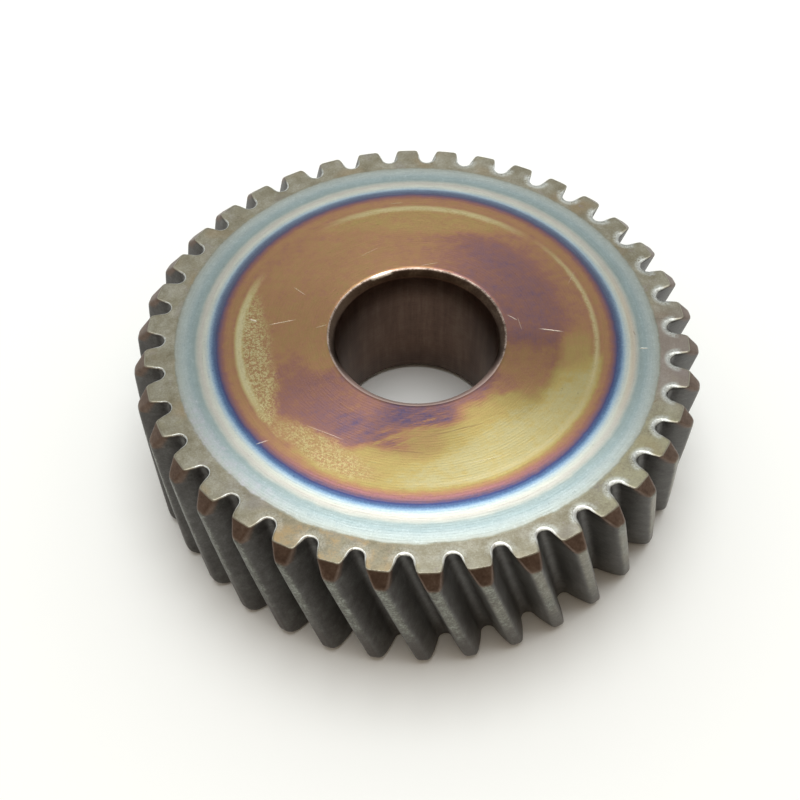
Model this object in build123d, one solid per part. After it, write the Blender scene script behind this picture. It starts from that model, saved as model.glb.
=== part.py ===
from build123d import *
import math
import os

# Helical gear, left hand, machined in one piece from a steel blank.
# Millimetres and degrees.
# Frame: origin at the centre of the lower end face, +Z along the bore.
# A tooth space is centred on +X at the lower end face.

# ---- driving dimensions -------------------------------------------------
teeth = 38                    # number of teeth
normal_module = 1.0           # module in the normal plane
normal_pressure_angle = 20.0
helix_angle = 15.0            # at the pitch cylinder, left hand
profile_shift = 0.06          # normal profile shift coefficient
addendum = 1.0                # in modules
dedendum = 1.25               # in modules
face_width = 11.6             # thickness, end face to end face
bore_diameter = 12.0
bore_chamfer = 0.5            # 45 degrees, both ends
upper_tip_chamfer = 0.95      # 45 degrees, turned on the upper end of the teeth
lower_tip_chamfer = 0.35      # 45 degrees, turned on the lower end of the teeth
upper_edge_break = 0.15       # 45 degree deburr along the tooth outline, upper end
lower_edge_break = 0.30       # the same at the lower end, where the teeth are well rounded
flank_points = 7              # points that each involute flank passes through

# ---- tooth geometry in the transverse plane -----------------------------
beta = math.radians(helix_angle)
transverse_module = normal_module / math.cos(beta)
pitch_r = teeth * transverse_module / 2
alpha_t = math.atan(math.tan(math.radians(normal_pressure_angle)) / math.cos(beta))
base_r = pitch_r * math.cos(alpha_t)
tip_r = pitch_r + (addendum + profile_shift) * normal_module
root_r = pitch_r - (dedendum - profile_shift) * normal_module
tooth_thickness = (
    math.pi / 2 + 2 * profile_shift * math.tan(math.radians(normal_pressure_angle))
) * transverse_module
half_tooth_angle = tooth_thickness / (2 * pitch_r)
pitch_angle = 2 * math.pi / teeth
turn_per_mm = -math.tan(beta) / pitch_r         # radians per mm of height, left hand


def involute(angle):
    return math.tan(angle) - angle


def flank(r, inset=0.0):
    """Point at radius r on the anticlockwise flank of the space on +X,
    moved square to the flank into the tooth by inset, and that normal."""
    a = math.acos(base_r / r)
    g = pitch_angle / 2 - half_tooth_angle - involute(alpha_t) + involute(a)
    nx, ny = -math.sin(g + a), math.cos(g + a)
    return r * math.cos(g) + inset * nx, r * math.sin(g) + inset * ny, nx, ny


# The root of each space is a full round: one arc that is tangent to both
# flanks and touches the root circle.  form_r is where it meets the flanks.
def round_error(r):
    x, y, nx, ny = flank(r)
    radius = y / ny
    return (x - radius * nx) - (root_r + radius)


low_r, high_r = base_r + 1e-6, tip_r
for _ in range(100):
    middle = (low_r + high_r) / 2
    if (round_error(low_r) > 0) == (round_error(middle) > 0):
        low_r = middle
    else:
        high_r = middle
form_r = (low_r + high_r) / 2
fx, fy, fnx, fny = flank(form_r)
root_radius = fy / fny
root_centre_x = fx - root_radius * fnx


def turned(x, y, angle, z):
    c, s = math.cos(angle), math.sin(angle)
    return Vector(x * c - y * s, x * s + y * c, z)


def outline(z, inset=0.0):
    """Closed wire round all teeth at height z, moved into the metal by inset."""
    radii = [form_r + (tip_r - form_r) * i / (flank_points - 1) for i in range(flank_points)]
    half = [flank(r, inset)[:2] for r in radii]
    edges = []
    for k in range(teeth):
        angle = k * pitch_angle + turn_per_mm * z
        upper = [turned(x, y, angle, z) for x, y in half]
        lower = [turned(x, -y, angle, z) for x, y in half]
        bottom = turned(root_r - inset, 0, angle, z)
        edges.append(Edge.make_spline(lower[::-1]))
        edges.append(Edge.make_three_point_arc(lower[0], bottom, upper[0]))
        edges.append(Edge.make_spline(upper))
        # tip land, up to the next space
        x, y = half[-1]
        next_angle = angle + pitch_angle
        r, start = math.hypot(x, y), angle + math.atan2(y, x)
        end = next_angle - math.atan2(y, x)
        mid_angle = (start + end) / 2
        edges.append(
            Edge.make_three_point_arc(
                upper[-1],
                Vector(r * math.cos(mid_angle), r * math.sin(mid_angle), z),
                turned(x, -y, next_angle, z),
            )
        )
    return Wire(edges)


# ---- toothed body: one long helical prism, edge breaks at both ends ------
z_low, z_high = lower_edge_break, face_width - upper_edge_break
middle_face = Face(outline(z_low))
toothed = Solid.extrude_linear_with_rotation(
    middle_face,
    center=(0, 0, z_low),
    normal=(0, 0, z_high - z_low),
    angle=math.degrees(turn_per_mm * (z_high - z_low)),
)
lower_break = Solid.make_loft([outline(0, lower_edge_break), outline(z_low)], ruled=True)
upper_break = Solid.make_loft([outline(z_high), outline(face_width, upper_edge_break)], ruled=True)
toothed = toothed.fuse(lower_break, upper_break)

# ---- turned blank: bore with its chamfers, tip chamfers at both ends -----
bore_r = bore_diameter / 2
spare = 1.0                   # the blank's rim stands clear of the tooth tips
section = Polyline(
    (bore_r + bore_chamfer, 0, 0),
    (tip_r - lower_tip_chamfer, 0, 0),
    (tip_r + spare, 0, lower_tip_chamfer + spare),
    (tip_r + spare, 0, face_width - upper_tip_chamfer - spare),
    (tip_r - upper_tip_chamfer, 0, face_width),
    (bore_r + bore_chamfer, 0, face_width),
    (bore_r, 0, face_width - bore_chamfer),
    (bore_r, 0, bore_chamfer),
    close=True,
)
blank = revolve(make_face(section.edges()), Axis.Z, 360)
gear = toothed & blank

if __name__ == "__main__":
    os.makedirs("parts", exist_ok=True)
    solid = gear.solids()[0]
    export_step(solid, "parts/helical_gear.step")
    print("solids", len(gear.solids()), "tip_r", round(tip_r, 3), "root_r", round(root_r, 3),
          "form_r", round(form_r, 3), "root_radius", round(root_radius, 3),
          "turn", round(math.degrees(turn_per_mm * face_width), 3))
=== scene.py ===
import math

import bpy
import numpy as np
from mathutils import Matrix, Vector


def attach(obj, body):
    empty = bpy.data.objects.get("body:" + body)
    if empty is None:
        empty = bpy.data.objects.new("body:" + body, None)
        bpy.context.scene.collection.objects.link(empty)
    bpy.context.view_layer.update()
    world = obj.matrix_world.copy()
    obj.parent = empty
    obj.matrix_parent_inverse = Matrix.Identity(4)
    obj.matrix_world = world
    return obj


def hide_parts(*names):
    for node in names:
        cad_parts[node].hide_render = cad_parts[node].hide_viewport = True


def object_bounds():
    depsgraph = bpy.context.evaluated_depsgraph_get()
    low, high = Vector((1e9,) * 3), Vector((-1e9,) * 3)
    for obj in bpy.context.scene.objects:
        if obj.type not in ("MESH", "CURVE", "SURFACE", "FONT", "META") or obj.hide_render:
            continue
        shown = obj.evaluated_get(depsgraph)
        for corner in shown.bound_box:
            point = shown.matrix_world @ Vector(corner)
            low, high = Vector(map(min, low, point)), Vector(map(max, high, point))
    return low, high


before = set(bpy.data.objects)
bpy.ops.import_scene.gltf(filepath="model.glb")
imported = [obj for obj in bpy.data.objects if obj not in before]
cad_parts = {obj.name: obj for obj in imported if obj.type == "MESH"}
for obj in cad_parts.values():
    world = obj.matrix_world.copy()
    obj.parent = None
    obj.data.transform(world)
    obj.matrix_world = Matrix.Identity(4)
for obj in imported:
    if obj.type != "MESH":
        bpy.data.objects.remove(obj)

CAD_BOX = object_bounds()
MM = 0.001

# ------------------------------------------------------------------ sizes, mm
TEETH = 38
MODULE = 1.0
PRESSURE = math.radians(20.0)
HELIX = math.radians(15.0)
SHIFT = 0.06
BORE_R = 6.0
BORE_CH = 0.5
UPPER_CH = 0.95
HEIGHT = round((CAD_BOX[1].z - CAD_BOX[0].z) / MM, 4)

M_T = MODULE / math.cos(HELIX)
PITCH_R = TEETH * M_T / 2
ALPHA_T = math.atan(math.tan(PRESSURE) / math.cos(HELIX))
BASE_R = PITCH_R * math.cos(ALPHA_T)
TIP_R = PITCH_R + (1.0 + SHIFT) * MODULE
ROOT_R = PITCH_R - (1.25 - SHIFT) * MODULE
THICK = (math.pi / 2 + 2 * SHIFT * math.tan(PRESSURE)) * M_T
HALF_TOOTH = THICK / (2 * PITCH_R)
PITCH_A = 2 * math.pi / TEETH
TURN = -math.tan(HELIX) / PITCH_R


def inv(a):
    return math.tan(a) - a


def flank(r, inset=0.0):
    """Point at radius r on the anticlockwise flank of the space on +X, moved
    square to the flank into the tooth by inset, and that normal."""
    a = math.acos(BASE_R / r)
    g = PITCH_A / 2 - HALF_TOOTH - inv(ALPHA_T) + inv(a)
    nx, ny = -math.sin(g + a), math.cos(g + a)
    return r * math.cos(g) + inset * nx, r * math.sin(g) + inset * ny, nx, ny


def round_root():
    """The full round at the foot of a space: where it meets the flanks, its
    radius, its centre and the normal there."""

    def err(r):
        x, y, nx, ny = flank(r)
        return (x - y / ny * nx) - (ROOT_R + y / ny)

    lo, hi = BASE_R + 1e-6, TIP_R
    for _ in range(100):
        mid = (lo + hi) / 2
        if (err(lo) > 0) == (err(mid) > 0):
            lo = mid
        else:
            hi = mid
    x, y, nx, ny = flank(lo)
    return lo, y / ny, x - y / ny * nx, (nx, ny)


FORM_R, ROOT_RHO, ROOT_CX, ROOT_N = round_root()

# ------------------------------------------------------------------ gear mesh
# Half a pitch runs from the middle of a space over the root round, the flank
# and the rounded tip corner to the middle of the tooth.
N_ROOT, N_FLANK, N_CORNER, N_LAND = 6, 8, 5, 2
HALF_N = N_ROOT + N_FLANK + N_CORNER + N_LAND
PITCH_N = 2 * HALF_N
RING_N = TEETH * PITCH_N
OUTER_R = TIP_R - 0.003              # stays just inside the CAD model
CORNER = 0.24                        # rounding of the tip corners, mm
LOWER_R = 0.90                       # rounding of the crests' lower ends, mm
LOWER_F = 0.20                       # and of the lower edge along the flanks and roots
CONE_R = 0.28                        # length rounded off where the cone meets the crest


def half_outline(land_r, root_in, foot_in, tip_in, corner):
    """Half a pitch as HALF_N + 1 points. The insets move the middle of the
    root round, the flank's foot and the flank's tip into the metal."""
    end = math.acos(-ROOT_N[0])
    pts = np.empty((HALF_N + 1, 2))
    for i in range(N_ROOT):
        t = i / N_ROOT
        rho = ROOT_RHO + root_in + (foot_in - root_in) * t * t * (3 - 2 * t)
        pts[i] = ROOT_CX - rho * math.cos(end * t), rho * math.sin(end * t)
    r_end = land_r
    for _ in range(6):
        x, y, _a, _b = flank(r_end, tip_in)
        r_end += land_r - math.hypot(x, y)
    r_stop = r_end - corner
    for i in range(N_FLANK + 1):
        t = i / N_FLANK
        x, y, _a, _b = flank(FORM_R + (r_stop - FORM_R) * t, foot_in + (tip_in - foot_in) * t)
        pts[N_ROOT + i] = x, y
    cx, cy, _a, _b = flank(r_end, tip_in)
    start = math.atan2(cy, cx) + corner / land_r
    p0, p1 = pts[N_ROOT + N_FLANK].copy(), np.array((cx, cy))
    p2 = np.array((land_r * math.cos(start), land_r * math.sin(start)))
    for i in range(1, N_CORNER):
        t = i / N_CORNER
        pts[N_ROOT + N_FLANK + i] = (1 - t) ** 2 * p0 + 2 * t * (1 - t) * p1 + t * t * p2
    for i in range(N_LAND + 1):
        a = start + (PITCH_A / 2 - start) * i / N_LAND
        pts[N_ROOT + N_FLANK + N_CORNER + i] = land_r * math.cos(a), land_r * math.sin(a)
    return pts


# where along the pitch a point lies: 0 on the flank and root, 1 on the land
HALF_LAND = np.array(
    [0.0] * (N_ROOT + N_FLANK) + [i / N_CORNER for i in range(N_CORNER)] + [1.0] * (N_LAND + 1)
)
RING_LAND = np.tile(np.concatenate([HALF_LAND[::-1][:-1], HALF_LAND[:-1]]), TEETH)
# how far up the flank, 0 in the middle of the root and 1 at the crest
HALF_UP = np.array([0.35 * i / N_ROOT for i in range(N_ROOT)]
                   + [0.35 + 0.65 * i / N_FLANK for i in range(N_FLANK)] + [1.0] * (N_CORNER + N_LAND + 1))
RING_UP = np.tile(np.concatenate([HALF_UP[::-1][:-1], HALF_UP[:-1]]), TEETH)

rng = np.random.default_rng(38)
vary = rng.uniform(-1, 1, (TEETH, 3))


def break_size(k, side):
    """Upper edge break of one side of space k: middle of the root, foot and
    tip of the flank. It is widest in the roots on the +X side."""
    a = k * PITCH_A + TURN * HEIGHT
    lean = 0.5 + 0.5 * math.cos(a - math.radians(2))
    root = 0.12 + 0.27 * lean ** 1.4 + 0.04 * vary[k, 0]
    foot = 0.10 + 0.14 * lean + 0.02 * vary[k, 0] + 0.04 * side * vary[k, 1]
    tip = 0.10 + 0.02 * vary[k, 2]
    return root, foot, tip


def whole_ring(half_points, heights):
    """A closed ring from half pitches in their own frame, each point turned
    with the helix to its own height. half_points(k, side) and heights(k, side)."""
    out = np.empty((RING_N, 3))
    for k in range(TEETH):
        for side, off in ((-1, 0), (1, HALF_N)):
            pts = np.array(half_points(k, side)) * (1, side)
            z = np.broadcast_to(np.asarray(heights(k, side), float), (HALF_N + 1,))
            if side < 0:
                pts, z = pts[::-1], z[::-1]
            a = k * PITCH_A + TURN * z
            c, s = np.cos(a), np.sin(a)
            sl = slice(k * PITCH_N + off, k * PITCH_N + off + HALF_N)
            out[sl, 0] = (pts[:, 0] * c - pts[:, 1] * s)[:-1]
            out[sl, 1] = (pts[:, 0] * s + pts[:, 1] * c)[:-1]
            out[sl, 2] = z[:-1]
    return out


def sized(values):
    """Root middle, foot and tip values spread over half a pitch."""
    root, foot, tip = values
    h = np.empty(HALF_N + 1)
    t = np.arange(N_ROOT) / N_ROOT
    h[:N_ROOT] = root + (foot - root) * t * t * (3 - 2 * t)
    h[N_ROOT:N_ROOT + N_FLANK + 1] = foot + (tip - foot) * np.arange(N_FLANK + 1) / N_FLANK
    h[N_ROOT + N_FLANK:] = tip
    return h


ZONES = ["face", "tooth", "bore", "under"]
ZONE = {n: i for i, n in enumerate(ZONES)}


def build_gear():
    rings, codes = [], []            # points, and the zone of the band below each ring
    marks = {"land": [], "cone": [], "rim": [], "low": [], "up": []}

    def put(points, code, land=None, cone=0.0, rim=0.0, low=0.0):
        rings.append(np.asarray(points, float))
        codes.append(code)
        marks["land"].append(np.zeros(RING_N) if land is None else np.asarray(land, float))
        marks["cone"].append(np.full(RING_N, cone) if np.isscalar(cone) else cone)
        marks["rim"].append(np.full(RING_N, rim) if np.isscalar(rim) else rim)
        marks["low"].append(np.full(RING_N, low))
        marks["up"].append(RING_UP)

    def flat(z, land_r, insets=(0, 0, 0), corner=CORNER):
        pts = half_outline(land_r, *insets, corner)
        return whole_ring(lambda k, s: pts, lambda k, s: z)

    z_uc = HEIGHT - UPPER_CH
    # lower face, out from the bore chamfer
    def low_ring(f):
        """Outline and heights of the lower rounding, f from 0 on the face to a
        quarter turn."""
        s = 1 - math.sin(f)
        ins = LOWER_F * s
        return flat(sized((LOWER_F, LOWER_F * 1.1, LOWER_R * 0.95)) * (1 - math.cos(f)),
                    OUTER_R - LOWER_R * s, (ins * 0.9, ins, ins), corner=CORNER + 0.20 * s)

    first = low_ring(0.0)
    own = np.unwrap(np.arctan2(first[:, 1], first[:, 0]))
    even = own[0] + np.arange(RING_N) * 2 * math.pi / RING_N

    def circle(r, z, w=1.0, src=None):
        a = even * w + (own if src is None else src) * (1 - w)
        return np.stack([r * np.cos(a), r * np.sin(a), np.full(RING_N, z)], 1)

    inner = [BORE_R + 0.80, 8.0, 11.0, 14.5, 17.2]
    for n, r in enumerate(inner):
        put(circle(r, 0.0, 1 - n / (len(inner) - 1)), ZONE["under"])
    guard = LOWER_F + 0.06
    put(flat(0.0, OUTER_R - LOWER_R - 0.06, (guard, guard, guard), corner=CORNER + 0.20), ZONE["under"])
    put(first, ZONE["under"], rim=0.6)
    # lower ends of the teeth, well rounded
    steps = 6
    for i in range(1, steps + 1):
        f = math.pi / 2 * i / steps
        put(low_ring(f), ZONE["tooth"], land=RING_LAND, rim=0.35 * (1 - f / (math.pi / 2)), low=1 - f / (math.pi / 2))
    z_low = sized((LOWER_F, LOWER_F * 1.1, LOWER_R * 0.95))
    # straight run
    n_run = 10
    for i in range(1, n_run + 1):
        z = z_low + (z_uc - CONE_R - z_low) * (i / n_run)
        put(flat(z, OUTER_R), ZONE["tooth"], land=RING_LAND)
    # rounded meeting of crest and cone, then the cone
    p0, p1 = np.array((z_uc - CONE_R, OUTER_R)), np.array((z_uc, OUTER_R))
    p2 = np.array((z_uc + CONE_R * 0.7, OUTER_R - CONE_R * 0.7))
    for t in (0.25, 0.5, 0.75, 1.0):
        z, r = (1 - t) ** 2 * p0 + 2 * t * (1 - t) * p1 + t * t * p2
        put(flat(z, r), ZONE["tooth"], land=RING_LAND, cone=t)
    for z in (z_uc + 0.42, z_uc + 0.62):
        put(flat(z, OUTER_R - (z - z_uc)), ZONE["tooth"], land=RING_LAND, cone=1.0)
    # upper edge break: three rings, each point at its own height
    for step, (drop, share) in enumerate(((1.0, 0.0), (0.30, 0.30), (0.0, 1.0))):
        def points(k, side):
            root, foot, tip = break_size(k, side)
            r = OUTER_R - UPPER_CH + tip * drop - (0.35 * tip * share)
            return half_outline(r, root * share, foot * share, tip * share, CORNER * 0.8)

        def heights(k, side):
            return HEIGHT - sized(break_size(k, side)) * drop

        put(whole_ring(points, heights), ZONE["tooth"], land=RING_LAND,
            cone=(1.0, 0.4, 0.0)[step], rim=(0.0, 1.0, 0.75)[step])
    # upper face, in to the bore
    put(whole_ring(lambda k, s: half_outline(
        OUTER_R - UPPER_CH - 0.35 * break_size(k, s)[2] - 0.06, *(v + 0.06 for v in break_size(k, s)), CORNER * 0.8),
        lambda k, s: HEIGHT), ZONE["face"])
    top = rings[-1]
    own_top = np.unwrap(np.arctan2(top[:, 1], top[:, 0]))
    even = own_top[0] + np.arange(RING_N) * 2 * math.pi / RING_N
    radii = [17.6, 14.5, 11.0, 8.0, BORE_R + 0.80]
    for n, r in enumerate(radii):
        put(circle(r, HEIGHT, n / (len(radii) - 1), own_top), ZONE["face"])
    bore = [
        (0.70, 0.0, "face"), (0.59, 0.0175, "face"), (0.47, 0.07, "bore"), (0.34, 0.1575, "bore"),
        (0.21, 0.29, "bore"), (0.05, BORE_CH - 0.05, "bore"), (0.0, BORE_CH + 0.05, "bore"),
    ]
    for dr, dz, code in bore:
        put(circle(BORE_R + dr, HEIGHT - dz), ZONE[code])
    for i in range(1, 4):
        z = HEIGHT - BORE_CH - 0.05 - (HEIGHT - 2 * BORE_CH - 0.1) * i / 4
        put(circle(BORE_R, z), ZONE["bore"])
    # the lower mouth eases back to the angles of the lower face's first ring
    start = rings[0]
    back_a = np.unwrap(np.arctan2(start[:, 1], start[:, 0]))
    shift = round((back_a[0] - even[0]) / (2 * math.pi)) * 2 * math.pi
    even_low = back_a - shift
    lower = [(dr, dz) for dr, dz, _c in bore[::-1]]
    for n, (dr, dz) in enumerate(lower):
        w = (n + 1) / len(lower)
        a = even * (1 - w) + even_low * w
        r = BORE_R + dr
        put(np.stack([r * np.cos(a), r * np.sin(a), np.full(RING_N, dz)], 1), ZONE["bore"])
    n_rings = len(rings)
    verts = np.concatenate(rings)
    faces, zone = [], []
    idx = np.arange(RING_N)
    nxt = (idx + 1) % RING_N
    for m in range(n_rings):
        lo, hi = m, (m + 1) % n_rings
        code = codes[hi] if hi else ZONE["under"]
        quad = np.stack([lo * RING_N + idx, lo * RING_N + nxt, hi * RING_N + nxt, hi * RING_N + idx], 1)
        faces.extend(quad.tolist())
        zone.extend([code] * RING_N)
    return verts, faces, np.array(zone), {n: np.concatenate(v) for n, v in marks.items()}


co, quads, zones, marks = build_gear()
mesh = bpy.data.meshes.new("gear_body")
mesh.from_pydata((co * MM).tolist(), [], quads)
gear = bpy.data.objects.new("gear_body", mesh)
bpy.context.scene.collection.objects.link(gear)
for name, values in marks.items():
    att = mesh.attributes.new(name, "FLOAT", "POINT")
    att.data.foreach_set("value", values.astype(np.float32))
mesh.polygons.foreach_set("material_index", zones.astype(np.int32))
mesh.polygons.foreach_set("use_smooth", np.ones(len(mesh.polygons), bool))
mesh.set_sharp_from_angle(angle=math.radians(38))
wn = gear.modifiers.new("weighted", "WEIGHTED_NORMAL")
wn.keep_sharp = True
wn.weight = 60
mesh.update()

# ------------------------------------------------------------------ materials
class V:
    """A node socket with arithmetic."""

    def __init__(self, tree, sock):
        self.t, self.s = tree, sock

    def _math(self, op, *others, clamp=False):
        n = self.t.nodes.new("ShaderNodeMath")
        n.operation, n.use_clamp = op, clamp
        for i, v in enumerate((self, *others)):
            if isinstance(v, V):
                self.t.links.new(v.s, n.inputs[i])
            else:
                n.inputs[i].default_value = v
        return V(self.t, n.outputs[0])

    def __add__(self, o): return self._math("ADD", o)
    def __radd__(self, o): return self._math("ADD", o)
    def __sub__(self, o): return self._math("SUBTRACT", o)
    def __rsub__(self, o): return (self * -1.0) + o
    def __mul__(self, o): return self._math("MULTIPLY", o)
    def __rmul__(self, o): return self._math("MULTIPLY", o)
    def __truediv__(self, o): return self._math("DIVIDE", o)
    def __neg__(self): return self * -1.0
    def power(self, o): return self._math("POWER", o)
    def abs(self): return self._math("ABSOLUTE")
    def sin(self): return self._math("SINE")
    def cos(self): return self._math("COSINE")
    def fract(self): return self._math("FRACT")
    def arctan2(self, o): return self._math("ARCTAN2", o)
    def clamp(self): return self._math("ADD", 0.0, clamp=True)
    def least(self, o): return self._math("MINIMUM", o)
    def most(self, o): return self._math("MAXIMUM", o)


def material(name):
    m = bpy.data.materials.new(name)
    m.use_nodes = True
    m.node_tree.nodes["Principled BSDF"].inputs["Metallic"].default_value = 1.0
    return m, m.node_tree, m.node_tree.nodes["Principled BSDF"]


def position(t):
    """Object coordinates in millimetres: the vector and x, y, z."""
    tc = t.nodes.new("ShaderNodeTexCoord")
    sc = t.nodes.new("ShaderNodeVectorMath")
    sc.operation = "SCALE"
    sc.inputs["Scale"].default_value = 1000.0
    t.links.new(tc.outputs["Object"], sc.inputs[0])
    sp = t.nodes.new("ShaderNodeSeparateXYZ")
    t.links.new(sc.outputs[0], sp.inputs[0])
    return V(t, sc.outputs[0]), *(V(t, o) for o in sp.outputs)


def vector(t, x, y, z):
    n = t.nodes.new("ShaderNodeCombineXYZ")
    for i, v in enumerate((x, y, z)):
        if isinstance(v, V):
            t.links.new(v.s, n.inputs[i])
        else:
            n.inputs[i].default_value = v
    return V(t, n.outputs[0])


def noise(t, vec, scale, detail=2.0, rough=0.55, distort=0.0):
    """Noise centred on 0, roughly -1 to 1."""
    n = t.nodes.new("ShaderNodeTexNoise")
    n.inputs["Scale"].default_value = scale
    n.inputs["Detail"].default_value = detail
    n.inputs["Roughness"].default_value = rough
    n.inputs["Distortion"].default_value = distort
    t.links.new(vec.s, n.inputs["Vector"])
    return (V(t, n.outputs[0]) - 0.5) * 3.0


def smooth(x, lo, hi):
    """0 below lo and 1 above hi, eased; the other way round if lo > hi."""
    n = x.t.nodes.new("ShaderNodeMapRange")
    n.interpolation_type = "SMOOTHSTEP"
    x.t.links.new(x.s, n.inputs["Value"])
    if lo < hi:
        ends = (lo, hi, 0.0, 1.0)
    else:
        ends = (hi, lo, 1.0, 0.0)
    for name, value in zip(("From Min", "From Max", "To Min", "To Max"), ends):
        n.inputs[name].default_value = value
    return V(x.t, n.outputs[0])


def lerp(a, b, w):
    """Between two numbers or sockets."""
    if isinstance(b, V) or isinstance(a, V):
        return w * (b - a if isinstance(b, V) else (a * -1.0) + b) + a
    return w * (b - a) + a


def mix(a, b, w):
    """Between two colours, each a socket or a tuple."""
    n = w.t.nodes.new("ShaderNodeMix")
    n.data_type = "RGBA"
    w.t.links.new(w.s, n.inputs[0])
    for sock, v in ((n.inputs[6], a), (n.inputs[7], b)):
        if isinstance(v, V):
            w.t.links.new(v.s, sock)
        else:
            sock.default_value = (*v, 1)
    return V(w.t, n.outputs[2])


def shade(colour, by):
    """Colour times a number socket."""
    n = by.t.nodes.new("ShaderNodeVectorMath")
    n.operation = "SCALE"
    by.t.links.new(colour.s, n.inputs[0])
    by.t.links.new(by.s, n.inputs["Scale"])
    return V(by.t, n.outputs[0])


def ramp(x, stops):
    n = x.t.nodes.new("ShaderNodeValToRGB")
    els = n.color_ramp.elements
    while len(els) < len(stops):
        els.new(0.5)
    for e, (p, c) in zip(els, stops):
        e.position, e.color = p, (*c, 1)
    x.t.links.new(x.s, n.inputs[0])
    return V(x.t, n.outputs[0])


def curve(x, points):
    """Piecewise-linear number through (x, y) points."""
    out = None
    for (x0, y0), (x1, y1) in zip(points, points[1:]):
        n = x.t.nodes.new("ShaderNodeMapRange")
        x.t.links.new(x.s, n.inputs["Value"])
        for name, value in (("From Min", x0), ("From Max", x1), ("To Min", 0.0), ("To Max", y1 - y0)):
            n.inputs[name].default_value = value
        v = V(x.t, n.outputs[0])
        out = v + y0 if out is None else out + v
    return out


def attribute(t, name):
    n = t.nodes.new("ShaderNodeAttribute")
    n.attribute_name = name
    return V(t, n.outputs["Fac"])


def link(value, sock):
    value.t.links.new(value.s, sock)


def bump(t, height, strength, depth_mm, bsdf, before=None):
    n = t.nodes.new("ShaderNodeBump")
    n.inputs["Strength"].default_value = strength
    n.inputs["Distance"].default_value = depth_mm * MM
    link(height, n.inputs["Height"])
    if before is not None:
        t.links.new(before.outputs[0], n.inputs["Normal"])
    t.links.new(n.outputs[0], bsdf.inputs["Normal"])
    return n


def turned(t, bsdf, amount):
    """A lathe-turned finish: reflections stretch across the tool's circles."""
    tn = t.nodes.new("ShaderNodeTangent")
    tn.direction_type, tn.axis = "RADIAL", "Z"
    bsdf.inputs["Anisotropic"].default_value = amount
    bsdf.inputs["Anisotropic Rotation"].default_value = 0.25
    t.links.new(tn.outputs[0], bsdf.inputs["Tangent"])


# Heat tint on turned steel, from the thinnest oxide to the thickest.
TINT = [
    (0.00, (0.405, 0.355, 0.175)),
    (0.12, (0.380, 0.295, 0.105)),
    (0.26, (0.345, 0.235, 0.095)),
    (0.40, (0.335, 0.185, 0.095)),
    (0.50, (0.27, 0.135, 0.10)),
    (0.59, (0.21, 0.115, 0.115)),
    (0.66, (0.15, 0.095, 0.13)),
    (0.73, (0.062, 0.068, 0.150)),
    (0.79, (0.085, 0.145, 0.25)),
    (0.85, (0.20, 0.30, 0.41)),
    (0.92, (0.37, 0.46, 0.49)),
    (1.00, (0.53, 0.54, 0.455)),
]
# The paler rings outside the blue one, by radius from 15.5 to 18.0 mm.
RINGS = [
    (15.50, (0.53, 0.54, 0.455)),
    (15.80, (0.49, 0.465, 0.40)),
    (16.02, (0.42, 0.43, 0.37)),
    (16.25, (0.275, 0.335, 0.315)),
    (16.65, (0.295, 0.362, 0.35)),
    (17.00, (0.365, 0.415, 0.39)),
    (17.30, (0.375, 0.415, 0.375)),
    (17.56, (0.35, 0.365, 0.315)),
    (17.68, (0.235, 0.235, 0.175)),
    (18.00, (0.285, 0.27, 0.20)),
]


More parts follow.
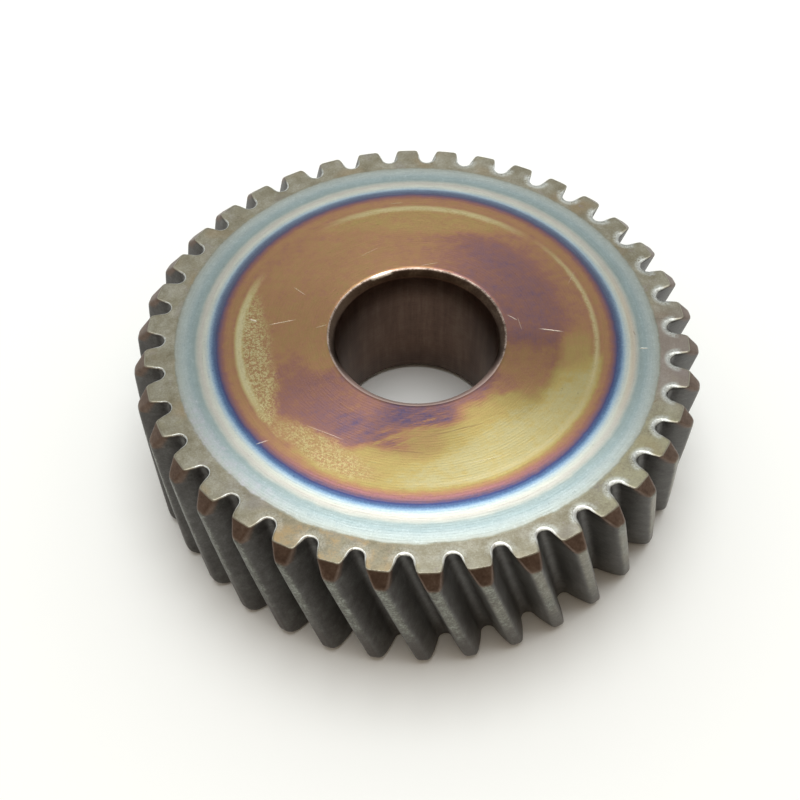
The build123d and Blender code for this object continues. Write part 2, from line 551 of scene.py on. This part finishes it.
def face_colour(t, vec, x, y, upper):
    """Colour of an end face and its relative roughness."""
    r = (x * x + y * y).power(0.5)
    inv_r = (r + 0.001).power(-1.0)
    cx, cy = x * inv_r, y * inv_r                      # cosine and sine of the angle

    # patches wander: warped copies of the position
    w1 = noise(t, vec, 0.28, 2.0)
    w2 = noise(t, vector(t, x + 31.0, y - 17.0, 4.0), 0.28, 2.0)
    w3 = noise(t, vec, 1.6, 3.0)
    wx, wy = x + w1 * 0.55 + w3 * 0.22, y + w2 * 0.55 - w3 * 0.2
    wr = (wx * wx + wy * wy).power(0.5)
    fine = noise(t, vec, 7.0, 3.0, 0.7)
    speck = noise(t, vector(t, x * 1.0, y * 1.0, 9.0), 11.0, 2.0, 0.75)
    circles = noise(t, vector(t, cx * 2.2, cy * 2.2, r * 2.2), 3.2, 3.0, 0.7)
    mottle = noise(t, vector(t, x * 0.9 + y * 0.25, y * 1.2 - x * 0.3, 13.0), 1.5, 5.0, 0.72)

    ragged = r + w3 * 0.18 + fine * 0.12

    def around(deg, half, soft):
        a = math.radians(deg)
        c = cx * math.cos(a) + cy * math.sin(a)
        lo = math.cos(math.radians(min(half + soft, 179)))
        hi = math.cos(math.radians(max(half - soft, 0.5)))
        return smooth(c, lo, hi)

    def between(v, lo, hi, soft_lo, soft_hi):
        return smooth(v, lo - soft_lo, lo + soft_lo) * smooth(v, hi + soft_hi, hi - soft_hi)

    def beyond(deg, distance, soft):
        """Past a straight line at that distance from the axis."""
        a = math.radians(deg)
        return smooth(wx * math.cos(a) + wy * math.sin(a), distance - soft, distance + soft)

    tint = w1 * 0.025 + 0.415
    if upper:
        layers = [
            (around(22, 46, 22) * between(wr, 5.0, 11.2, 0.5, 1.3), 0.545),
            (around(35, 24, 14) * between(wr, 8.6, 10.8, 1.0, 1.0), 0.575),
            (around(226, 34, 12) * between(wr, 5.0, 11.9, 0.5, 0.7), 0.515),
            (around(238, 16, 9) * between(wr, 8.6, 11.0, 0.6, 0.8), 0.56),
            (around(150, 40, 20) * between(wr, 5.0, 12.4, 0.5, 0.8), 0.375),
            (around(187, 16, 10) * between(wr, 6.0, 8.4, 0.4, 0.8), 0.36),
            (beyond(88, 10.4, 0.6) * between(ragged, 5.0, 12.9, 0.5, 0.35) * smooth(fine + w3 * 0.5, -1.1, 0.3), 0.27),
            (around(344, 13, 6) * between(wr, 10.6, 12.9, 0.35, 0.4), 0.25),
            # gold in the lower right, its edge almost straight
            (beyond(268, 10.6, 0.35) * between(ragged, 5.0, 13.55, 0.5, 0.3), 0.235),
            (beyond(293, 7.45, 0.40) * between(ragged, 5.0, 13.7, 0.5, 0.35), 0.16),
            (beyond(303, 9.6, 1.2) * between(ragged, 5.0, 13.3, 0.5, 0.5), 0.03),
            (around(337, 12, 7) * between(wr, 5.0, 10.5, 0.5, 0.7), 0.40),
            (around(266, 10, 7) * between(wr, 8.6, 10.9, 0.4, 0.5), 0.26),
        ]
    else:
        layers = [
            (around(70, 50, 25) * between(wr, 5.0, 11.2, 0.5, 1.3), 0.53),
            (around(200, 40, 20) * between(wr, 5.0, 11.9, 0.5, 0.7), 0.37),
            (beyond(310, 8.6, 0.6) * between(wr, 5.0, 13.5, 0.5, 0.35), 0.20),
            (beyond(150, 10.4, 0.5) * between(wr, 5.0, 12.9, 0.5, 0.35), 0.27),
        ]
    for w, target in layers:
        tint = lerp(tint, target, w)
    if upper:
        # speckled olive patch on the left
        coarse = noise(t, vector(t, x, y, 17.0), 5.2, 3.0, 0.8)
        grit = smooth(speck * 0.35 + coarse, -0.30, 0.40)
        patch = beyond(189, 10.9, 0.55) * around(191, 27, 9) * between(wr, 5.0, 13.1, 0.5, 0.25)
        tint = lerp(tint, lerp(0.40, 0.04, grit), patch)
        sides = beyond(236, 11.4, 0.6) * around(236, 15, 9) * between(wr, 5.0, 13.2, 0.5, 0.3)
        tint = lerp(tint, lerp(0.34, 0.12, grit), sides)
        # violet arc beside the bore, with brushed ends
        brush = noise(t, vector(t, (x * 0.93 + y * 0.36) * 0.35, (y * 0.93 - x * 0.36) * 2.6, 2.0), 1.0, 3.0, 0.7)
        edge = r + brush * 0.55
        violet = around(270, 19, 9) * between(edge, 5.5, 8.5, 0.2, 0.35)
        tint = lerp(tint, 0.635, violet * smooth(brush + fine * 0.3, -1.1, 0.05))
        seam = around(300, 24, 8) * between(edge, 5.5, 7.2, 0.2, 0.3)
        tint = lerp(tint, 0.58, seam * 0.8)
        lilac = around(248, 14, 7) * between(edge, 8.4, 10.5, 0.5, 0.4) * smooth(brush, -0.6, 0.3)
        tint = lerp(tint, 0.62, lilac * 0.9)
        tint = tint + brush * 0.022 * around(255, 40, 20)
        # light arcs where the tool paused
        arcs = [(184, 22, 13, 13.02, 0.26, 0.0, 0.95), (84, 27, 14, 13.0, 0.24, 0.08, 0.68),
                (4, 28, 16, 13.12, 0.15, 0.17, 0.75), (306, 34, 14, 13.2, 0.20, 0.04, 0.4)]
        glint = (patch * grit * 0.75).most(sides * grit * 0.45)
        for deg, half, soft, mid, wide, target, power in arcs:
            band = between(r + w3 * 0.06 + fine * 0.07, mid - wide, mid + wide, 0.18, 0.18)
            arc = around(deg, half, soft) * band * power
            tint = lerp(tint, target, arc)
            glint = glint.most(arc)
    tint = tint + fine * 0.040 + circles * 0.050 + speck * 0.026 + mottle * 0.125

    # the rings: a smooth rise in oxide from copper over blue to pale
    lean = cx * math.cos(math.radians(142)) + cy * math.sin(math.radians(142))
    near = around(272, 25, 32)
    ring_r = r - lean * 0.03 - near * 0.085 - 0.055 + w3 * 0.02 + fine * 0.012
    rise = curve(ring_r, [(13.30, 0.0), (13.55, 0.36), (13.95, 0.42), (14.15, 0.515), (14.35, 0.63), (14.55, 0.73),
                          (14.75, 0.775), (14.88, 0.815), (14.98, 0.86), (15.12, 0.915), (15.28, 0.965), (15.45, 1.0)])
    onto = smooth(ring_r + mottle * 0.07 + fine * 0.05, 13.40, 13.80)
    calm = fine * 0.018 + circles * 0.014 + mottle * smooth(ring_r, 14.75, 14.1) * 0.10 + near * smooth(ring_r, 13.6, 13.95) * smooth(ring_r, 14.5, 14.2) * 0.06
    tint = lerp(tint, rise + calm, onto).clamp()
    inner = ramp(tint, TINT)
    blotch = smooth(mottle * 0.8 + circles * 0.6 + fine * 0.45, 0.25, 1.35) * smooth(tint, 0.34, 0.14)
    inner = mix(inner, (0.20, 0.145, 0.052), blotch * 0.38)
    if upper:
        inner = mix(inner, (0.56, 0.50, 0.30), glint * smooth(fine + w3 * 0.5, -1.2, 0.2) * 0.75)
    inner = mix(inner, (0.15, 0.15, 0.16), smooth(cy, -0.5, 0.5) * between(ring_r, 14.5, 15.05, 0.12, 0.1) * 0.5)
    inner = mix(inner, (0.030, 0.055, 0.165), between(ring_r, 14.50, 14.64, 0.07, 0.07) * near * 0.35)
    wob = w3 * 0.06 + w1 * 0.03 + fine * 0.03 - cy.least(0.0) * 0.12 * noise(t, vec, 0.55, 2.0)
    lo, hi = RINGS[0][0], RINGS[-1][0]
    outer = ramp((r + wob - lo) / (hi - lo), [((p - lo) / (hi - lo), c) for p, c in RINGS])
    cloud = noise(t, vector(t, x * 1.0, y * 1.0, 5.0), 2.2, 4.0, 0.7)
    outer = mix(outer, (0.46, 0.52, 0.50), smooth(cloud + fine * 0.3, 0.0, 1.1) * smooth(r, 16.0, 16.6) * 0.7)
    outer = mix(outer, (0.22, 0.29, 0.31), smooth(cloud + fine * 0.3, -0.1, -1.1) * smooth(r, 15.9, 16.5) * 0.6)
    outer = mix(outer, (0.43, 0.40, 0.44), around(218, 15, 10) * smooth(r, 16.4, 16.8) * smooth(cloud, -0.4, 0.7) * 0.6)
    outer = mix(outer, (0.52, 0.43, 0.30), around(356, 18, 14) * between(r, 15.5, 15.9, 0.15, 0.15) * 0.5)
    colour = mix(inner, outer, smooth(ring_r, 15.42, 15.56))
    # a rosy tone where the copper meets the blue on the near side
    rose = near * between(ring_r + mottle * 0.05, 13.9, 14.22, 0.16, 0.14)
    colour = mix(colour, (0.32, 0.145, 0.15), rose * smooth(fine + mottle, -1.2, 0.6) * 0.75)

    # grey-brown rim and tooth ends
    rim = smooth(r + wob, 17.60, 17.78)
    blot = noise(t, vec, 0.9, 3.0, 0.6)
    grey = ramp((blot * 0.40 + 0.5 + fine * 0.20 + speck * 0.08), [
        (0.12, (0.19, 0.165, 0.105)), (0.5, (0.275, 0.255, 0.185)), (0.88, (0.39, 0.375, 0.30))])
    tone = noise(t, vector(t, x, y, 21.0), 0.33, 1.0)
    grey = mix(grey, (0.30, 0.225, 0.125), smooth(tone, 0.15, 0.9) * 0.65)
    grey = mix(grey, (0.22, 0.20, 0.20), smooth(tone, -0.2, -0.9) * 0.5)
    hue = noise(t, vector(t, x, y, 29.0), 1.15, 3.0, 0.65)
    grey = mix(grey, (0.29, 0.245, 0.25), smooth(hue + fine * 0.2, 0.25, 1.0) * 0.6)
    grey = mix(grey, (0.34, 0.31, 0.185), smooth(hue + fine * 0.2, -0.25, -1.0) * 0.6)
    if upper:
        warm = around(250, 12, 7) * smooth(blot + hue * 0.5 + fine * 0.4, -0.5, 0.6)
        grey = mix(grey, (0.35, 0.235, 0.10), warm * 0.75)
        grey = mix(grey, (0.25, 0.20, 0.185), around(352, 10, 8) * 0.6)
        grey = mix(grey, (0.32, 0.305, 0.175), around(322, 13, 9) * smooth(fine + blot, -0.9, 0.6) * 0.6)
    # painted shade: the rim is darkened towards the far side
    grey = shade(grey, 1.0 - smooth(cy, 0.1, 0.9) * 0.14)
    if upper:
        # pale scuffs round the roots of the spaces, widest on the +X side; their paleness on the +X side and the near
        # side is partly a painted highlight
        turn = (y.arctan2(x) * (1 / PITCH_A) - TURN * HEIGHT / PITCH_A + 0.5).fract() - 0.5
        gx, gy = r * (turn * PITCH_A).cos() - ROOT_CX, r * (turn * PITCH_A).sin()
        away = (gx * gx + gy * gy).power(0.5) - ROOT_RHO + blot * 0.07 + fine * 0.07
        # painted highlight: the scuffs are made paler on the +X side and a little on the near side
        scuff_and_highlight = smooth(cx, -0.1, 0.7).most(smooth(cy, -0.5, -0.95) * 0.35)
        pale = smooth(away, 0.66, 0.36) * smooth(r, 19.3, 18.8) * smooth(blot * 0.6 + fine, -0.9, 0.5)
        grey = mix(grey, (0.54, 0.56, 0.51), scuff_and_highlight * pale * 0.85)
    colour = mix(colour, grey, rim)
    # dull the rings a little and pit the surface
    worn = fine * 0.06 + circles * 0.06 + speck * 0.045 + mottle * 0.05 + w1 * 0.02 + 0.76
    if upper:
        worn = worn * (1.0 - around(335, 18, 14) * (smooth(r, 11.2, 10.2) * 0.16 + smooth(r, 14.6, 13.9) * 0.08))
        worn = worn * (1.0 - around(268, 15, 12) * (smooth(r, 11.5, 10.0) * 0.14 + smooth(r, 13.9, 13.5) * 0.10))
    return colour, worn, r, fine, circles, speck, rim


def scratches(t, x, y, marks):
    """Short straight scratches: (x, y, angle, half length, half width, strength)."""
    total = None
    for mx, my, deg, half, wide, power in marks:
        c, s = math.cos(math.radians(deg)), math.sin(math.radians(deg))
        along = ((x - mx) * c + (y - my) * s).abs()
        across = ((y - my) * c - (x - mx) * s).abs()
        m = smooth(across, wide, wide * 0.25) * smooth(along, half, half * 0.45) * power
        total = m if total is None else total.most(m)
    return total


FACE_MARKS = [
    (-12.04, 1.60, -24, 0.34, 0.09, 0.85), (-9.9, 1.35, 13, 1.15, 0.045, 0.55), (-8.7, 4.4, -42, 0.7, 0.04, 0.40),
    (7.1, 1.35, -38, 0.5, 0.05, 0.55), (9.85, 0.05, -11, 1.0, 0.055, 0.75), (7.6, 0.75, -80, 0.7, 0.035, 0.30),
    (-7.0, 0.9, 20, 0.5, 0.04, 0.35), (-6.6, -8.7, -26, 1.6, 0.04, 0.30), (-10.9, -9.4, 20, 0.5, 0.05, 0.5),
    (16.4, -1.85, -2, 0.35, 0.07, 0.65), (1.2, 6.9, 12, 0.8, 0.035, 0.35), (-3.4, 8.3, 33, 1.0, 0.03, 0.25),
    (4.4, -11.2, 14, 1.8, 0.03, 0.22), (-1.2, 13.6, 6, 0.6, 0.04, 0.25), (11.9, 5.2, 63, 0.8, 0.035, 0.25),
]
FACE_DARK = [
    (2.3, -8.75, 15, 2.6, 0.07, 0.75), (-0.9, -10.45, -8, 1.3, 0.07, 0.8), (-2.0, -9.6, -18, 1.6, 0.05, 0.5),
    (15.9, -0.4, -75, 0.25, 0.06, 0.6), (16.55, -6.6, 40, 0.3, 0.07, 0.6), (0.4, -9.15, 22, 1.5, 0.05, 0.5),
]


def face_material(name, upper):
    m, t, bsdf = material(name)
    vec, x, y, z = position(t)
    colour, worn, r, fine, circles, speck, rim = face_colour(t, vec, x, y, upper)
    w_tool = noise(t, vec, 0.7, 2.0)
    colour = shade(colour, worn)
    hair_v = vector(t, (x * 0.80 + y * 0.60) * 0.16, (y * 0.80 - x * 0.60) * 5.0, 3.0)
    hair = smooth(noise(t, hair_v, 1.0, 2.0, 0.6), 0.72, 0.98)
    hair2_v = vector(t, (x * 0.25 - y * 0.97) * 0.2, (y * 0.25 + x * 0.97) * 4.0, 8.0)
    hair2 = smooth(noise(t, hair2_v, 1.0, 2.0, 0.6), 0.78, 1.0)
    lines = (hair * 0.16 + hair2 * 0.13).clamp()
    if upper:
        bright = scratches(t, x, y, FACE_MARKS)
        dark = scratches(t, x, y, FACE_DARK)
        colour = mix(colour, (0.13, 0.075, 0.045), dark * 0.6)
        lines = lines.most(bright)
    colour = mix(colour, (0.62, 0.56, 0.44), lines)
    link(colour, bsdf.inputs["Base Color"])
    rough = rim * 0.16 + fine * 0.02 + circles * 0.03 - lines * 0.08 + 0.30
    link(rough, bsdf.inputs["Roughness"])
    turned(t, bsdf, 0.6)
    tool = (r * (2 * math.pi / 0.21) + w_tool * 2.0).sin() * 0.28 + circles * 1.2 + fine * 0.7
    bump(t, tool - lines * 2.0, 0.35, 0.006, bsdf)
    return m


def tooth_material():
    m, t, bsdf = material("tooth_oxide")
    vec, x, y, z = position(t)
    r = (x * x + y * y).power(0.5)
    inv_r = (r + 0.001).power(-1.0)
    cx, cy = x * inv_r, y * inv_r
    land, cone = attribute(t, "land"), attribute(t, "cone")
    brk, low, up = attribute(t, "rim"), attribute(t, "low"), attribute(t, "up")
    big = noise(t, vec, 0.35, 2.0)
    mid = noise(t, vec, 1.5, 3.0, 0.65)
    fine = noise(t, vec, 6.0, 3.0, 0.7)
    grain = noise(t, vec, 13.0, 2.0, 0.8)
    right = smooth(cx, -0.2, 0.95)
    left = smooth(cx, -0.1, -0.8)
    # black oxide in the spaces, thinner towards the lower ends
    down = smooth(z, 6.5, 0.3)
    black = ramp(mid * 0.36 + big * 0.22 + fine * 0.16 + 0.45, [
        (0.1, (0.046, 0.041, 0.037)), (0.5, (0.082, 0.079, 0.073)), (0.9, (0.138, 0.141, 0.132))])
    pale = mix(black, (0.150, 0.142, 0.12), (down * 0.05 + right * 0.20) * smooth(mid + fine * 0.5, -0.6, 0.7))
    # worn crests
    crest = ramp(mid * 0.34 + fine * 0.30 + grain * 0.10 + 0.5, [
        (0.15, (0.065, 0.062, 0.052)), (0.5, (0.155, 0.156, 0.132)), (0.88, (0.34, 0.36, 0.32))])
    crest = mix(crest, (0.058, 0.055, 0.046), left * smooth(fine + mid * 0.5, 0.9, -0.3) * 0.75)
    crest = mix(crest, (0.25, 0.215, 0.16), right * smooth(big, -0.8, 0.5) * 0.6)
    wear = smooth(land + mid * 0.10 + fine * 0.06, 0.22, 0.85)
    fade = 1.0 - smooth(z + mid * 0.7 + fine * 0.35 + right * 2.2, 6.4, 2.6) * 0.85
    colour = mix(pale, crest, wear * fade)
    # painted shade: the worn crests darken towards their lower ends by the floor, brownish on the +X side and
    # near-black elsewhere
    colour = mix(colour, (0.110, 0.080, 0.062), smooth(z + mid * 0.4, 2.0, 0.3) * right * wear * 0.7)
    colour = mix(colour, (0.046, 0.035, 0.028), smooth(z + mid * 0.7 + fine * 0.3, 5.6, 2.0) * wear * (1.0 - right * 1.2) * 0.85)
    # brown turned cone
    brown = ramp(mid * 0.3 + fine * 0.15 + 0.5, [
        (0.15, (0.080, 0.055, 0.042)), (0.55, (0.138, 0.096, 0.073)), (0.9, (0.205, 0.155, 0.120))])
    colour = mix(colour, brown, smooth(cone + fine * 0.06, 0.25, 0.75) * smooth(up + fine * 0.03, 0.74, 0.98))
    # bright broken edge at the top, with a painted highlight that makes it paler on the near side
    polish = smooth(brk + fine * 0.10, 0.35, 0.85)
    bright = ramp(fine * 0.30 + mid * 0.28 + 0.52, [
        (0.1, (0.20, 0.195, 0.165)), (0.5, (0.42, 0.43, 0.39)), (0.9, (0.72, 0.73, 0.68))])
    # painted highlight: the broken edge is paler on the near side
    bright = mix(bright, (0.66, 0.65, 0.585), smooth(cy, -0.6, -0.95) * 0.55)
    edge = mix((0.30, 0.28, 0.215), bright, smooth(up + fine * 0.10 + mid * 0.06, 0.82, 0.42))
    colour = mix(colour, edge, polish)
    link(colour, bsdf.inputs["Base Color"])
    bare = polish.most(wear * fade).most(smooth(cone, 0.25, 0.75) * 0.6)
    link(lerp(0.30, 1.0, bare), bsdf.inputs["Metallic"])
    link(mid * 0.03 + fine * 0.03 + 0.46 - wear * 0.08 - polish * 0.06, bsdf.inputs["Roughness"])
    bump(t, mid * 0.6 + fine * 0.5 + grain * 0.25, 0.5, 0.014, bsdf)
    return m


def bore_material():
    m, t, bsdf = material("bore_brown")
    vec, x, y, z = position(t)
    r = (x * x + y * y).power(0.5)
    inv_r = (r + 0.001).power(-1.0)
    cx, cy = x * inv_r, y * inv_r
    mid = noise(t, vec, 0.9, 3.0, 0.65)
    fine = noise(t, vec, 6.0, 3.0, 0.7)
    along = noise(t, vector(t, cx * 9.0, cy * 9.0, z * 0.12), 1.0, 3.0, 0.65)
    base = ramp(mid * 0.2 + along * 0.3 + fine * 0.1 + 0.5, [
        (0.1, (0.072, 0.043, 0.031)), (0.5, (0.120, 0.073, 0.053)), (0.9, (0.18, 0.125, 0.09))])
    mouth = smooth(r, BORE_R + 0.01, BORE_R + 0.09)
    olive = ramp(mid * 0.25 + fine * 0.2 + 0.5, [
        (0.1, (0.030, 0.018, 0.013)), (0.5, (0.060, 0.040, 0.028)), (0.9, (0.14, 0.105, 0.072))])
    olive = mix(olive, (0.095, 0.064, 0.044), smooth(mid * 0.35 + fine * 0.25 - cx, 0.10, 0.95) * smooth(cy, -0.2, 0.4) * 0.6)
    colour = mix(base, olive, mouth)
    # painted highlight along the rounded outer edge of the bore chamfer
    lip_highlight = smooth(r + fine * 0.03, BORE_R + 0.42, BORE_R + 0.50)
    colour = mix(colour, (0.40, 0.31, 0.25), lip_highlight * smooth(mid + fine * 0.6, -0.8, 0.6))
    # painted highlight: the near side of the bore's mouth is painted paler and less metallic
    near = smooth(cy, -0.25, -0.75) * mouth
    colour = mix(colour, (0.38, 0.27, 0.23), near * 0.85)
    link(lerp(1.0, 0.25, near), bsdf.inputs["Metallic"])
    # painted highlight: a bright spot on the far rim of the bore at about 113 degrees
    highlight_spot = smooth(cx * math.cos(math.radians(113)) + cy * math.sin(math.radians(113)) + fine * 0.002, 0.988, 0.9985)
    colour = mix(colour, (0.85, 0.77, 0.64), highlight_spot * smooth(r + fine * 0.05, BORE_R + 0.26, BORE_R + 0.40))
    link(colour, bsdf.inputs["Base Color"])
    link(mouth * -0.06 + fine * 0.03 + mid * 0.03 + 0.38, bsdf.inputs["Roughness"])
    bump(t, along * 0.5 + fine * 0.4 + (z * (2 * math.pi / 0.30)).sin() * 0.25, 0.4, 0.010, bsdf)
    return m


mesh.materials.append(face_material("end_face", True))
mesh.materials.append(tooth_material())
mesh.materials.append(bore_material())
mesh.materials.append(face_material("lower_face", False))

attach(gear, "root")
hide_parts("helical_gear")

# ------------------------------------------------------------------ camera
UNIT = 6.5                                   # radius of the bore's rim, mm
ELEV, ROLL, DIST = math.radians(53.2375), math.radians(-0.4528), 13.028 * UNIT
AIM = Vector((-0.1959 * UNIT, -0.9332 * UNIT, HEIGHT))
TURN_Z = math.radians(-0.998)
back = Vector((0, -math.cos(ELEV), math.sin(ELEV)))
right0 = Vector((1, 0, 0))
up0 = back.cross(right0)
right = math.cos(ROLL) * right0 + math.sin(ROLL) * up0
up = -math.sin(ROLL) * right0 + math.cos(ROLL) * up0
place = AIM + back * DIST
rot = Matrix.Rotation(TURN_Z, 3, "Z")
cam_data = bpy.data.cameras.new("camera")
cam = bpy.data.objects.new("camera", cam_data)
bpy.context.scene.collection.objects.link(cam)
basis = Matrix((right, up, back)).transposed()
full = (rot @ basis).to_4x4()
full.translation = (rot @ place) * MM
cam.matrix_world = full
cam_data.sensor_width = 36.0
cam_data.lens = 1206.17 / 800 * 36.0
cam_data.clip_start, cam_data.clip_end = 0.005, 10
bpy.context.scene.camera = cam

# ------------------------------------------------------------------ stage
floor_mesh = bpy.data.meshes.new("floor")
half = 1.5
floor_mesh.from_pydata(
    [(-half, -half, 0), (half, -half, 0), (half, half, 0), (-half, half, 0)], [], [(0, 1, 2, 3)])
floor = bpy.data.objects.new("floor", floor_mesh)
bpy.context.scene.collection.objects.link(floor)
fm = bpy.data.materials.new("floor")
fm.use_nodes = True
fm.node_tree.nodes["Principled BSDF"].inputs["Base Color"].default_value = (0.922, 0.933, 0.888, 1)
fm.node_tree.nodes["Principled BSDF"].inputs["Roughness"].default_value = 0.9
fm.node_tree.nodes["Principled BSDF"].inputs["Specular IOR Level"].default_value = 0.0
floor_mesh.materials.append(fm)

# a pale room, lighter on the far side and dim on the camera's side
world = bpy.data.worlds.new("world")
world.use_nodes = True
wt = world.node_tree
bg = wt.nodes["Background"]
where = wt.nodes.new("ShaderNodeTexCoord")
split = wt.nodes.new("ShaderNodeSeparateXYZ")
fade = wt.nodes.new("ShaderNodeMapRange")
for name, value in (("From Min", -0.9), ("From Max", 0.7), ("To Min", 0.28), ("To Max", 0.92)):
    fade.inputs[name].default_value = value
wt.links.new(where.outputs["Generated"], split.inputs[0])
wt.links.new(split.outputs["Y"], fade.inputs["Value"])
wt.links.new(fade.outputs[0], bg.inputs["Strength"])
warm = wt.nodes.new("ShaderNodeMix")
warm.data_type = "RGBA"
warm.inputs[6].default_value = (1.0, 0.79, 0.60, 1)
warm.inputs[7].default_value = (0.98, 1.0, 1.02, 1)
lift = wt.nodes.new("ShaderNodeMapRange")
for name, value in (("From Min", -0.7), ("From Max", 0.3)):
    lift.inputs[name].default_value = value
wt.links.new(split.outputs["Y"], lift.inputs["Value"])
wt.links.new(lift.outputs[0], warm.inputs[0])
wt.links.new(warm.outputs[2], bg.inputs["Color"])
bpy.context.scene.world = world
bpy.context.scene.view_settings.view_transform = "Standard"


def area(name, where, aim, size, power, colour=(1, 1, 1)):
    """A square soft light at a point in metres, aimed at another."""
    data = bpy.data.lights.new(name, "AREA")
    data.shape = "SQUARE"
    data.size = size
    data.energy = power
    data.color = colour
    ob = bpy.data.objects.new(name, data)
    ob.location = where
    ob.rotation_euler = (Vector(where) - Vector(aim)).to_track_quat("Z", "Y").to_euler()
    bpy.context.scene.collection.objects.link(ob)
    return ob


area("key", (0.03, 0.12, 0.58), (0.03, 0.12, 0), 0.43, 2.3, (0.97, 0.995, 1.04))
